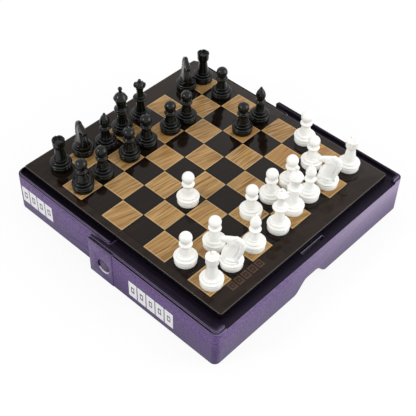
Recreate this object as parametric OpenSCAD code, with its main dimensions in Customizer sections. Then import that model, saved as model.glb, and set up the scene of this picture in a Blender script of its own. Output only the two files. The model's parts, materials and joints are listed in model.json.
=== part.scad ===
// Folding magnetic travel chess set. Two plastic half cases, open below, carry one half of
// the board each. They are hinged at their side walls, low down, so that the case folds with
// the boards outward and the black half nests inside the white half.
// X runs along the players' rows, Y from the white end to the black end, Z up from the table.
// Modules work from the hinge line at Y = 0; in_frame() then centres the whole case.

/* [Board] */
// Side of one square of the board
square = 16.4; // [15:0.1:20]
// Dark border beside the squares, left and right
side_border = 5.2; // [3:0.1:7]
// Dark border behind each player's back row
end_border = 11.5; // [6:0.1:12]
// Height of the playing surface above the table
board_top = 28.5; // [26:0.5:40]
// Distance that the glued board panels sit to the right of the middle of the case
panel_offset = 0.6; // [0:0.1:1]
// Thickness of the printed playing film
film_t = 0.3; // [0.1:0.05:0.5]
// Thickness of the steel sheet under the film
steel_t = 0.5; // [0.3:0.1:1]
// Rim of the board tray around the steel sheet
steel_inset = 2; // [1:0.5:4]
// Corner radius of the board panels
panel_corner = 1.5; // [0.5:0.1:3]

/* [White half, the outer case] */
// Free gap between the folded black half's side wall and the white half's
side_nest_gap = 2.5; // [1.2:0.1:5]
// Free gap between the folded black half's end wall and the white half's
end_nest_gap = 1.9; // [1.4:0.1:6]
// Wall thickness
outer_wall = 2; // [1.6:0.1:2.2]
// Corner radius at the end wall
outer_corner = 3.5; // [2.5:0.1:6]
// Length of the hinge ears past the hinge line
ear_len = 11.5; // [8:0.5:14]
// Length of the raised ear plate on the white half's own wall
plate_len = 7.4; // [6:0.2:14]
// How far the ear plate stands out of the wall
plate_proud = 0.3; // [0.2:0.1:1]
// Height of the top of the ear plate above the deck
plate_rise = 1.9; // [1.4:0.1:2.4]
// Height of the shoulder under the side lips, above the deck
outer_shoulder_h = 1.1; // [0.5:0.1:1.6]
// How far the side lips turn the corner along the end wall
lip_return = 6.5; // [4:0.5:12]

/* [Black half, the inner case] */
// Distance from a board panel's side edge to the outside of the side wall
inner_side_channel = 4.8; // [3.5:0.1:8]
// Distance from a board panel's end edge to the outside of the end wall
inner_end_channel = 2.4; // [2.1:0.1:8]
// Wall thickness
inner_wall = 1.8; // [1.4:0.1:2]
// Corner radius at the end wall
inner_corner = 5; // [3:0.1:8]
// Height of the shoulder under the lip, above the deck
inner_shoulder_h = 1.2; // [0.5:0.1:1.6]
// Diameter of the small round mark on the channel floor
mark_d = 2; // [1:0.1:2.6]

/* [Decks and lips] */
// Distance from the playing surface down to the decks around the board panels
deck_drop = 4.4; // [3:0.1:6]
// Deck thickness
deck_t = 1.8; // [1.4:0.1:2]
// Distance from the playing surface down to the top of the lips
lip_drop = 2; // [1:0.1:2.5]
// Thickness of the white half's side lips
outer_lip_t = 1.6; // [1:0.1:2]
// Distance from the wall's outside in to the white half's lips
outer_lip_inset = 1.4; // [1:0.1:1.8]
// Thickness of the black half's lip
inner_lip_t = 1; // [0.8:0.1:1.4]
// Distance from the wall's outside in to the black half's lip
inner_lip_inset = 0.9; // [0.5:0.1:1.4]
// Gap between the two halves at the hinge line
seam_gap = 0.4; // [0.2:0.1:0.8]

/* [Hinge] */
// Height of the hinge pins above the table
pivot_z = 11; // [9.5:0.1:11]
// Radius of a hinge pin
pin_r = 2; // [1.5:0.1:2.5]
// Running clearance of the pin in the black half's lug, on the radius
pin_clearance = 0.05; // [0.03:0.01:0.08]
// Radius of the lugs on the black half
lug_r = 6; // [5:0.1:7]
// Radius of the bosses inside the ears
boss_r = 4; // [3.5:0.1:5]
// Gap between a boss and a lug
boss_gap = 0.3; // [0.2:0.05:0.5]
// How far a pin reaches past the lug's inner face
pin_tail = 0.8; // [0.4:0.1:1.5]
// Radius of a pin's head
pin_head_r = 4.2; // [3.6:0.1:5]
// Thickness of a pin's head
pin_head_t = 0.6; // [0.4:0.1:1]
// Depth of the round recess for a pin's head
recess_depth = 1.2; // [1:0.1:1.5]
// Clearance around a pin's head in its recess
recess_clearance = 0.4; // [0.2:0.1:0.8]

/* [Opening aids in the white end wall] */
// Width of the finger notch at the table
notch_w = 28; // [20:1:40]
// Width of the flat top of the finger notch
notch_flat = 8; // [4:1:16]
// Height of the finger notch
notch_h = 7.7; // [5:0.1:10]
// Place of the finger notch across the case
notch_x = -2.3; // [-10:0.1:10]
// Length of the slot in the deck above the catch
slot_len = 18; // [10:1:30]
// Width of the slot in the deck above the catch
slot_w = 1.6; // [1:0.1:1.8]
// Place of the slot and the catch across the case
slot_x = 2; // [-10:0.1:10]
// Thickness of the catch's tongue
catch_t = 1.2; // [0.8:0.1:1.6]
// Length of the catch's tongue below the deck
catch_len = 8; // [5:0.1:9]
// How far the catch's nub stands out of the tongue
catch_nub = 0.5; // [0.3:0.1:0.8]
// Free gap between the catch and the black half's end wall, when folded
catch_gap = 0.3; // [0.2:0.05:0.4]

/* [Chess pieces] */
// Radius of the widest ring of every piece
ring_r = 6.5; // [5:0.05:6.8]
// Radius of the base disc of every piece
base_r = 6.15; // [4.8:0.05:6.6]
// Height of the base disc
base_h = 3; // [2:0.1:4]
// Height of the three rings above the base disc
rings_h = 4.2; // [3:0.1:6]
// Height of a king
king_h = 33; // [28:0.1:40]
// Height of a queen
queen_h = 30.1; // [26:0.1:36]
// Height of a bishop
bishop_h = 24.6; // [20:0.1:32]
// Height of a knight
knight_h = 21.8; // [20:0.1:28]
// Height of a rook
rook_h = 21; // [16:0.1:26]
// Height of a pawn
pawn_h = 21.5; // [17:0.1:26]
// Thickness of a knight's neck at its foot
knight_t = 7.4; // [5:0.1:8]
// Thickness of a knight's head at its ears
knight_ear_t = 2.8; // [2:0.1:5]
// Rounding of the small edges of the pieces
piece_edge = 0.3; // [0.1:0.05:0.5]
// Depth of the groove above the base disc
groove_depth = 0.6; // [0.3:0.1:1.2]
// Radius of the magnet in each piece
magnet_r = 3; // [2:0.1:4]
// Thickness of the magnet in each piece
magnet_t = 2; // [1:0.1:2.4]
// Clearance around the magnet in its pocket
magnet_clearance = 0.05; // [0.02:0.01:0.1]
// Gap between a piece and the playing surface
seat_gap = 0.1; // [0.05:0.05:0.2]

/* [Hidden] */
$fn = 64;
// Small overlap that joins two shapes of one solid, and lets a cut pass a face
joint = 0.5;
// Smallest corner radius that is left where a plan is drawn in
least_corner = 0.2;

deck_z = board_top - deck_drop;
lip_z = board_top - lip_drop;
tray_top = board_top - film_t;
panel_half_w = 4 * square + side_border;
panel_len = 4 * square + end_border;
inner_half_w = panel_half_w + inner_side_channel;
inner_len = panel_len + inner_end_channel;
outer_half_w = inner_half_w + side_nest_gap + outer_wall;
outer_len = inner_len + end_nest_gap + outer_wall;
case_shift_y = (outer_len - inner_len) / 2;

PURPLE = [0.34, 0.28, 0.45];
BLACK = [0.09, 0.09, 0.1];
WHITE = [0.93, 0.93, 0.92];
FILM_BROWN = [0.2, 0.16, 0.13];
STEEL = [0.62, 0.63, 0.65];

// Pieces: name, kind, place along the row and place down the board in squares, and, for a
// knight, the direction of its nose in degrees. Row 0 is behind black's king, row 8 behind
// white's. Nobody sets a travel set up quite straight.
PIECES = [
    ["black_rook_1", "rook", 0.61, 0.26, 0],
    ["black_knight_1", "knight", 1.66, 0.23, -110],
    ["black_bishop_1", "bishop", 2.48, 0.54, 0],
    ["black_king", "king", 3.43, 0.37, 0],
    ["black_queen", "queen", 4.37, 0.37, 0],
    ["black_knight_2", "knight", 6.89, 0.28, -125],
    ["black_rook_2", "rook", 7.68, 0.4, 0],
    ["black_pawn_1", "pawn", 0.45, 1.6, 0],
    ["black_pawn_2", "pawn", 1.36, 1.6, 0],
    ["black_pawn_3", "pawn", 2.66, 1.58, 0],
    ["black_pawn_4", "pawn", 3.57, 1.51, 0],
    ["black_pawn_5", "pawn", 4.7, 1.59, 0],
    ["black_pawn_6", "pawn", 5.53, 1.6, 0],
    ["black_pawn_7", "pawn", 7.48, 1.57, 0],
    ["black_pawn_8", "pawn", 6.51, 3.51, 0],
    ["black_bishop_2", "bishop", 7.46, 3.51, 0],
    ["white_pawn_1", "pawn", 0.53, 6.42, 0],
    ["white_pawn_2", "pawn", 1.67, 6.61, 0],
    ["white_pawn_3", "pawn", 2.51, 4.61, 0],
    ["white_pawn_4", "pawn", 3.55, 6.53, 0],
    ["white_pawn_5", "pawn", 4.6, 6.5, 0],
    ["white_pawn_6", "pawn", 5.59, 6.56, 0],
    ["white_pawn_7", "pawn", 6.88, 6.47, 0],
    ["white_pawn_8", "pawn", 7.71, 5.48, 0],
    ["white_rook_1", "rook", 0.44, 7.64, 0],
    ["white_knight_1", "knight", 1.45, 7.57, 116],
    ["white_bishop_1", "bishop", 2.53, 7.57, 0],
    ["white_queen", "queen", 3.7, 7.62, 0],
    ["white_king", "king", 4.69, 7.41, 0],
    ["white_bishop_2", "bishop", 5.56, 7.39, 0],
    ["white_knight_2", "knight", 6.49, 7.48, 118],
    ["white_rook_2", "rook", 7.69, 7.5, 0]
];

CASE_NODES = [
    "outer_case_shell", "inner_case_shell", "outer_board_tray", "inner_board_tray",
    "outer_steel_sheet", "inner_steel_sheet", "outer_board_film", "inner_board_film",
    "left_hinge_pin", "right_hinge_pin"
];

// ---- Placing ----

// Moves what is built from the hinge line into the frame whose origin is the middle of the base
module in_frame() {
    translate([0, case_shift_y, 0]) children();
}

// Turns what is built for the white half round to the black half
module black_half() {
    mirror([0, 1, 0]) children();
}

// Draws its children at both side walls
module both_sides() {
    children();
    mirror([1, 0, 0]) children();
}

// A cylinder along X from x0 to x1 on the hinge line
module hinge_rod(r, x0, x1) {
    translate([x0, 0, pivot_z]) rotate([0, 90, 0]) cylinder(r = r, h = x1 - x0);
}

// ---- Case ----

// Plan of one half: from the seam at y = seam to the end wall at y = -len, with round corners
module half_plan(half_w, len, corner, seam) {
    translate([-half_w + corner, -len]) square([2 * (half_w - corner), len + seam]);
    translate([-half_w, corner - len]) square([2 * half_w, len + seam - corner]);
    for (side = [-1, 1]) translate([side * (half_w - corner), corner - len]) circle(r = corner);
}

// Ring along the sides and the end of a half, open at the seam, t wide and inset from the wall
module edge_ring(half_w, len, corner, seam, inset, t) {
    inside = inset + t;
    inside_corner = max(corner - inside, least_corner);
    difference() {
        half_plan(half_w - inset, len - inset, corner - inset, seam);
        half_plan(half_w - inside, len - inside, inside_corner, seam + 2 * joint);
    }
}

// Deck and walls of one half, open below and at the seam
module half_tub(half_w, len, corner, wall) {
    difference() {
        linear_extrude(deck_z) half_plan(half_w, len, corner, -seam_gap / 2);
        translate([0, 0, -joint])
            linear_extrude(deck_z - deck_t + joint)
                half_plan(half_w - wall, len - wall, corner - wall, joint);
    }
}

// Wall under the deck's seam edge, from the deck down to the hinge line, t thick
module seam_wall(half_w, t) {
    translate([-half_w, -seam_gap / 2 - t, pivot_z + seam_gap])
        cube([2 * half_w, t, deck_z - deck_t / 2 - pivot_z - seam_gap]);
}

// Ring that runs along both sides of the white half and a little way round each corner, from
// the deck up to a height
module outer_ring(inset, t, top) {
    reach = outer_lip_inset + lip_return;
    translate([0, 0, deck_z - joint]) linear_extrude(top - deck_z + joint) intersection() {
        edge_ring(outer_half_w, outer_len, outer_corner, ear_len, inset, t);
        for (side = [-1, 1]) {
            translate([side * outer_half_w - reach, -outer_len])
                square([2 * reach, outer_len + ear_len]);
        }
    }
}

// Raised side edges of the white half: the shoulder, and the lip set in on top of it
module outer_edge() {
    outer_ring(0, outer_lip_inset + outer_lip_t, deck_z + outer_shoulder_h);
    outer_ring(outer_lip_inset, outer_lip_t, lip_z);
}

// Hinge ear at the right side: the wall that runs on past the seam, its raised outer plate
// and the boss that meets the black half's lug
module outer_ear() {
    translate([outer_half_w - outer_wall, -joint, 0])
        cube([outer_wall, ear_len + joint, deck_z]);
    translate([outer_half_w - outer_wall / 2, -plate_len, 0])
        cube([outer_wall / 2 + plate_proud, plate_len + ear_len, deck_z + plate_rise]);
    hinge_rod(boss_r, inner_half_w + boss_gap, outer_half_w - outer_wall + joint);
}

// Hole for a pin at the right side, with the recess for its head
module ear_bore() {
    hinge_rod(pin_r, inner_half_w, outer_half_w + plate_proud);
    hinge_rod(pin_head_r + recess_clearance, outer_half_w + plate_proud - recess_depth,
        outer_half_w + plate_proud + joint);
}

// Side view of the finger notch: a wave that rises from the table to a flat top
module notch_outline() {
    slope = (notch_w - notch_flat) / 2;
    rise = [for (t = [0:22.5:180]) [notch_w / 2 - slope * t / 180, notch_h * (1 - cos(t)) / 2]];
    polygon(concat(
        [[notch_w / 2, -joint]],
        rise,
        [for (k = [len(rise) - 1:-1:0]) [-rise[k][0], rise[k][1]]],
        [[-notch_w / 2, -joint]]
    ));
}

// Tongue under the slot, with a nub that faces the folded black half's end wall
module catch_tongue() {
    face_y = -(inner_len - inner_wall - catch_gap);
    translate([slot_x - slot_len / 2, face_y + catch_nub, deck_z - deck_t - catch_len])
        cube([slot_len, catch_t, catch_len + deck_t / 2]);
    translate([slot_x - slot_len / 2, face_y, deck_z - deck_t - catch_len])
        cube([slot_len, catch_nub + catch_t / 2, catch_t]);
}

module outer_case_shell() {
    slot_y = -(inner_len - inner_wall / 2);
    in_frame() color(PURPLE) difference() {
        union() {
            half_tub(outer_half_w, outer_len, outer_corner, outer_wall);
            seam_wall(inner_half_w - inner_wall - boss_gap - pin_tail, outer_wall);
            outer_edge();
            both_sides() outer_ear();
            catch_tongue();
        }
        both_sides() ear_bore();
        translate([notch_x, -outer_len + outer_wall + joint, 0])
            rotate([90, 0, 0])
                linear_extrude(outer_wall + 2 * joint) notch_outline();
        translate([slot_x - slot_len / 2, slot_y - slot_w / 2, deck_z - deck_t - joint])
            cube([slot_len, slot_w, deck_t + 2 * joint]);
    }
}

// Raised edge of the black half: the shoulder, and the lip set in on top of it
module inner_edge() {
    ring_t = inner_lip_inset + inner_lip_t;
    translate([0, 0, deck_z - joint]) linear_extrude(inner_shoulder_h + joint)
        edge_ring(inner_half_w, inner_len, inner_corner, -seam_gap / 2, 0, ring_t);
    translate([0, 0, deck_z - joint]) linear_extrude(lip_z - deck_z + joint)
        edge_ring(inner_half_w, inner_len, inner_corner, -seam_gap / 2, inner_lip_inset, inner_lip_t);
}

// Lug at the right side of the black half, in the plane of its side wall
module inner_lug() {
    hinge_rod(lug_r, inner_half_w - inner_wall, inner_half_w);
}

// Bore for a pin at the right side, which also clears the pin's tail in the seam wall
module lug_bore() {
    hinge_rod(pin_r + pin_clearance, inner_half_w - inner_wall - pin_tail - boss_gap,
        inner_half_w + joint);
}

module inner_case_shell() {
    lip_inside = inner_half_w - inner_lip_inset - inner_lip_t;
    mark_x = (lip_inside + panel_half_w - panel_offset) / 2;
    in_frame() color(PURPLE) black_half() difference() {
        union() {
            half_tub(inner_half_w, inner_len, inner_corner, inner_wall);
            seam_wall(inner_half_w - inner_wall / 2, inner_wall);
            inner_edge();
            both_sides() inner_lug();
            translate([-mark_x, -panel_len, deck_z - joint])
                cylinder(d = mark_d, h = joint + inner_shoulder_h / 4);
        }
        both_sides() lug_bore();
    }
}

// Pin at the right side: a shaft through the ear and the lug, with a flat head in the recess
module hinge_pin() {
    recess_floor = outer_half_w + plate_proud - recess_depth;
    hinge_rod(pin_r, inner_half_w - inner_wall - pin_tail, recess_floor + pin_head_t / 2);
    hinge_rod(pin_head_r, recess_floor, recess_floor + pin_head_t);
}

module right_hinge_pin() {
    in_frame() color(PURPLE) hinge_pin();
}

module left_hinge_pin() {
    in_frame() color(PURPLE) mirror([1, 0, 0]) hinge_pin();
}

// ---- Board panels ----

// Plan of one board panel, drawn in by inset on all sides
module panel_plan(inset) {
    corner = max(panel_corner - inset, least_corner);
    translate([panel_offset, 0]) intersection() {
        half_plan(panel_half_w - inset, panel_len - inset, corner, -seam_gap / 2 - inset);
        translate([-panel_half_w, -panel_len]) square([2 * panel_half_w, panel_len]);
    }
}

// Tray that lifts the playing surface above the deck, with a recess for the steel sheet
module board_tray() {
    difference() {
        translate([0, 0, deck_z]) linear_extrude(tray_top - deck_z) panel_plan(0);
        translate([0, 0, tray_top - steel_t]) linear_extrude(steel_t + joint) panel_plan(steel_inset);
    }
}

module steel_sheet() {
    translate([0, 0, tray_top - steel_t]) linear_extrude(steel_t) panel_plan(steel_inset);
}

module board_film() {
    translate([0, 0, tray_top]) linear_extrude(film_t) panel_plan(0);
}

module outer_board_tray() {
    in_frame() color(BLACK) board_tray();
}

module inner_board_tray() {
    in_frame() color(BLACK) black_half() board_tray();
}

module outer_steel_sheet() {
    in_frame() color(STEEL) steel_sheet();
}

module inner_steel_sheet() {
    in_frame() color(STEEL) black_half() steel_sheet();
}

module outer_board_film() {
    in_frame() color(FILM_BROWN) board_film();
}

module inner_board_film() {
    in_frame() color(FILM_BROWN) black_half() board_film();
}

// ---- Chess pieces ----
// Outlines are lists of [radius, height]. Above the rings, a kind's outline is given in shares
// of the ring radius and of the stem, the stretch from the rings to the top.

stem_z = base_h + rings_h;

// Rounded ring of radius r between two heights
function ring(r, z0, z1) =
    let (h = (z1 - z0) / 2)
    [for (a = [-90:45:90]) [r - h * (1 - cos(a)), (z0 + z1) / 2 + h * sin(a)]];

// Hollow flare that narrows from r0 at z0 to r1 at z1
function flare(r0, z0, r1, z1) =
    [for (a = [0:18:90]) [r1 + (r0 - r1) * (1 - sin(a)), z0 + (z1 - z0) * (1 - cos(a))]];

// Arc of a ball of radius r about height z, from angle a0 up to a1
function ball(r, z, a0, a1) =
    [for (k = [0:8]) let (a = a0 + (a1 - a0) * k / 8) [max(r * cos(a), 0), z + r * sin(a)]];

// Base disc, groove and two wide rings that every piece stands on
function foot() = concat(
    [[0, 0], [base_r - piece_edge, 0], [base_r, piece_edge]],
    [[base_r, base_h - piece_edge], [base_r - piece_edge, base_h]],
    [[base_r - groove_depth, base_h], [base_r - groove_depth, base_h + rings_h * 0.07]],
    ring(ring_r, base_h + rings_h * 0.07, base_h + rings_h * 0.42),
    ring(ring_r * 0.81, base_h + rings_h * 0.45, base_h + rings_h * 0.74)
);

// Foot of a turned piece: a third, small ring stands on the two wide ones
function turned_foot() = concat(foot(), ring(ring_r * 0.57, base_h + rings_h * 0.77, stem_z));

// Height at a share of the stem of a piece that is h tall
function stem(h, share) = stem_z + (h - stem_z) * share;

function pawn_outline(h) = let (head_r = ring_r * 0.54) concat(
    turned_foot(),
    flare(ring_r * 0.53, stem_z, ring_r * 0.39, stem(h, 0.3)),
    [[ring_r * 0.43, stem(h, 0.36)]],
    ring(ring_r * 0.56, stem(h, 0.38), stem(h, 0.49)),
    [[ring_r * 0.4, stem(h, 0.52)]],
    ball(head_r, h - head_r, -40, 90)
);

function rook_outline(h) = concat(
    turned_foot(),
    flare(ring_r * 0.56, stem_z, ring_r * 0.4, stem(h, 0.56)),
    [[ring_r * 0.49, stem(h, 0.62)], [ring_r * 0.54, stem(h, 0.67)], [ring_r * 0.56, stem(h, 0.88)]],
    [[ring_r * 0.58, h - piece_edge], [ring_r * 0.58 - piece_edge, h], [0, h]]
);

function bishop_outline(h) = let (tip_r = ring_r * 0.12) concat(
    turned_foot(),
    flare(ring_r * 0.5, stem_z, ring_r * 0.35, stem(h, 0.27)),
    ring(ring_r * 0.52, stem(h, 0.33), stem(h, 0.41)),
    [[ring_r * 0.33, stem(h, 0.46)], [ring_r * 0.4, stem(h, 0.53)], [ring_r * 0.46, stem(h, 0.6)]],
    [[ring_r * 0.46, stem(h, 0.67)], [ring_r * 0.38, stem(h, 0.77)], [ring_r * 0.28, stem(h, 0.85)]],
    ball(tip_r, h - tip_r, -30, 90)
);

function queen_outline(h) = let (tip_r = ring_r * 0.16) concat(
    turned_foot(),
    flare(ring_r * 0.53, stem_z, ring_r * 0.38, stem(h, 0.32)),
    ring(ring_r * 0.68, stem(h, 0.37), stem(h, 0.44)),
    ring(ring_r * 0.48, stem(h, 0.45), stem(h, 0.48)),
    [[ring_r * 0.33, stem(h, 0.54)], [ring_r * 0.31, stem(h, 0.62)], [ring_r * 0.46, stem(h, 0.77)]],
    [[ring_r * 0.57, stem(h, 0.83)], [ring_r * 0.5, stem(h, 0.85)], [ring_r * 0.3, stem(h, 0.88)]],
    ball(tip_r, h - tip_r, -55, 90)
);

function king_outline(h) = let (tip_r = ring_r * 0.2) concat(
    turned_foot(),
    flare(ring_r * 0.53, stem_z, ring_r * 0.37, stem(h, 0.26)),
    ring(ring_r * 0.63, stem(h, 0.29), stem(h, 0.35)),
    ring(ring_r * 0.66, stem(h, 0.36), stem(h, 0.42)),
    [[ring_r * 0.44, stem(h, 0.45)], [ring_r * 0.43, stem(h, 0.5)], [ring_r * 0.66, stem(h, 0.68)]],
    [[ring_r * 0.66, stem(h, 0.7)], [ring_r * 0.5, stem(h, 0.77)], [ring_r * 0.18, stem(h, 0.84)]],
    ball(tip_r, h - tip_r, -50, 90)
);

function knight_foot_outline(h) = concat(
    foot(),
    [[ring_r * 0.7, base_h + rings_h * 0.8], [ring_r * 0.66, stem(h, 0.03)], [0, stem(h, 0.06)]]
);

// Body of revolution from an outline
module turned(outline) {
    rotate_extrude() polygon(outline);
}

// Crown of a rook: a round well and six gaps in its rim
module rook_cuts(h) {
    well_depth = (h - stem_z) * 0.11;
    gap_depth = well_depth * 0.6;
    gap_w = ring_r * 0.12;
    translate([0, 0, h - well_depth]) cylinder(r = ring_r * 0.4, h = well_depth + joint);
    for (a = [0:60:120]) rotate([0, 0, a])
        translate([-ring_r, -gap_w / 2, h - gap_depth]) cube([2 * ring_r, gap_w, gap_depth + joint]);
}

// Side view of a knight's head, nose towards +X, in shares of the ring radius and the stem:
// up the chest to the throat, round the nose, over the ears and down the mane
function knight_side(h) = [
    for (p = [
        [0.8, -0.08], [0.86, 0.05], [0.8, 0.19], [0.58, 0.38], [0.4, 0.5], [0.37, 0.58],
        [0.43, 0.63], [0.6, 0.65], [0.86, 0.63], [0.98, 0.67], [1.02, 0.75], [0.92, 0.84],
        [0.54, 0.89], [-0.05, 0.94], [-0.29, 1], [-0.4, 0.98], [-0.52, 0.94], [-0.74, 0.9],
        [-0.92, 0.82], [-1.03, 0.7], [-1.05, 0.57], [-1.02, 0.42], [-0.92, 0.29],
        [-0.76, 0.1], [-0.71, -0.08]
    ]) [p[0] * ring_r, stem(h, p[1])]
];

// Half of the front view of a knight's head: wide at the foot, narrow at the ears
function knight_front(h) = [
    [knight_t / 2, stem(h, -0.08)], [knight_t * 0.42, stem(h, 0.14)],
    [knight_t * 0.32, stem(h, 0.35)], [knight_ear_t * 0.68, stem(h, 0.55)],
    [knight_ear_t * 0.6, stem(h, 0.75)], [knight_ear_t / 2, stem(h, 0.95)],
    [knight_ear_t / 2 - piece_edge, stem(h, 1)]
];

// Whole outline from its right half
function both_sides(half) = concat(half, [for (k = [len(half) - 1:-1:0]) [-half[k][0], half[k][1]]]);

module knight_head(h) {
    intersection() {
        rotate([90, 0, 0]) translate([0, 0, -knight_t])
            linear_extrude(2 * knight_t) polygon(knight_side(h));
        rotate([90, 0, 90]) translate([0, 0, -2 * ring_r])
            linear_extrude(4 * ring_r) polygon(both_sides(knight_front(h)));
    }
}

// Body of one piece, standing on z = 0
module piece_body(kind) {
    if (kind == "pawn") turned(pawn_outline(pawn_h));
    if (kind == "bishop") turned(bishop_outline(bishop_h));
    if (kind == "queen") turned(queen_outline(queen_h));
    if (kind == "king") turned(king_outline(king_h));
    if (kind == "rook") difference() {
        turned(rook_outline(rook_h));
        rook_cuts(rook_h);
    }
    if (kind == "knight") {
        turned(knight_foot_outline(knight_h));
        knight_head(knight_h);
    }
}

// One piece on its square: the moulded body, and the disc magnet in a pocket under it
module chess_piece(piece) {
    x = (piece[2] - 4) * square;
    y = (4 - piece[3]) * square;
    shade = piece[0][0] == "w" ? WHITE : BLACK;
    in_frame() translate([x, y, board_top + seat_gap]) rotate([0, 0, piece[4]]) {
        color(shade) difference() {
            piece_body(piece[1]);
            translate([0, 0, -joint])
                cylinder(r = magnet_r + magnet_clearance, h = magnet_t + magnet_clearance + joint);
        }
        color(STEEL) cylinder(r = magnet_r, h = magnet_t);
    }
}

outer_case_shell();
inner_case_shell();
outer_board_tray();
inner_board_tray();
outer_steel_sheet();
inner_steel_sheet();
outer_board_film();
inner_board_film();
left_hinge_pin();
right_hinge_pin();
for (piece = PIECES) chess_piece(piece);
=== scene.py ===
"""Looks of the folding magnetic travel chess set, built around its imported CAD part.

Lengths in outlines and settings are in millimetres, as in the CAD source, and MM turns them
into Blender's metres. X runs along the players' rows, Y from white's end to black's, Z up.
"""

import json
import math

import bmesh
import bpy
import numpy as np
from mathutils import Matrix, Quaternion, Vector


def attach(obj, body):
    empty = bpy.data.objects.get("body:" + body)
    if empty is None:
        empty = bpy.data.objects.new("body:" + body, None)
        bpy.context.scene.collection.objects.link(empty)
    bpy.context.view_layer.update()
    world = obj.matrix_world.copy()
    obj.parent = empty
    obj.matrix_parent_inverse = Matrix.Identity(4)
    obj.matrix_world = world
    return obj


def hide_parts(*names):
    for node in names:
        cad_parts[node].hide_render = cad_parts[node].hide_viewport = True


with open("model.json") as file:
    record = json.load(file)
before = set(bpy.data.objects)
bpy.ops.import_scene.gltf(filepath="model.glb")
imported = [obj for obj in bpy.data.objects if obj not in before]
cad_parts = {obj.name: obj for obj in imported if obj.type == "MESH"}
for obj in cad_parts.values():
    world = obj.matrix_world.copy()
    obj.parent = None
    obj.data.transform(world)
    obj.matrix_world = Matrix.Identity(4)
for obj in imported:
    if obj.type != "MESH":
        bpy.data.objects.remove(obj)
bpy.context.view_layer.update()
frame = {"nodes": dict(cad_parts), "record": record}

MM = 0.001

# ---- Sizes and places from the CAD source ----
SQUARE = 16.4
SQUARES = 8
SIDE_BORDER = 5.2
END_BORDER = 11.5
SEAM_Y = 1.95
OUTER_HALF_W = 80.1
INNER_HALF_W = 75.6
DECK_Z = 24.1
SHOULDER_Z = 25.2
PIVOT_Z = 11.0
RECESS_R = 4.6
SLOT_X = 2.0
SLOT_Y = -76.4
SLOT_LEN = 18.0
SLOT_W = 1.6
PANEL_HALF_W = SQUARES / 2 * SQUARE + SIDE_BORDER
PANEL_LEN = SQUARES / 2 * SQUARE + END_BORDER
PANEL_OFFSET = 0.6
RING_R = 6.5
BASE_R = 6.15
MAGNET_R = 3.0
HEIGHT = {"king": 33.0, "queen": 30.1, "bishop": 24.6, "knight": 21.8, "rook": 21.0, "pawn": 21.5}
# Where each knight looks, in degrees from +X
KNIGHT_TURN = {
    "black_knight_1": -110,
    "black_knight_2": -125,
    "white_knight_1": 116,
    "white_knight_2": 118,
}

# ---- Materials ----


def srgb(red, green, blue):
    """Linear colour of an sRGB triple from 0 to 255."""
    parts = [c / 255 for c in (red, green, blue)]
    return [c / 12.92 if c <= 0.04045 else ((c + 0.055) / 1.055) ** 2.4 for c in parts] + [1.0]


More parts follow.
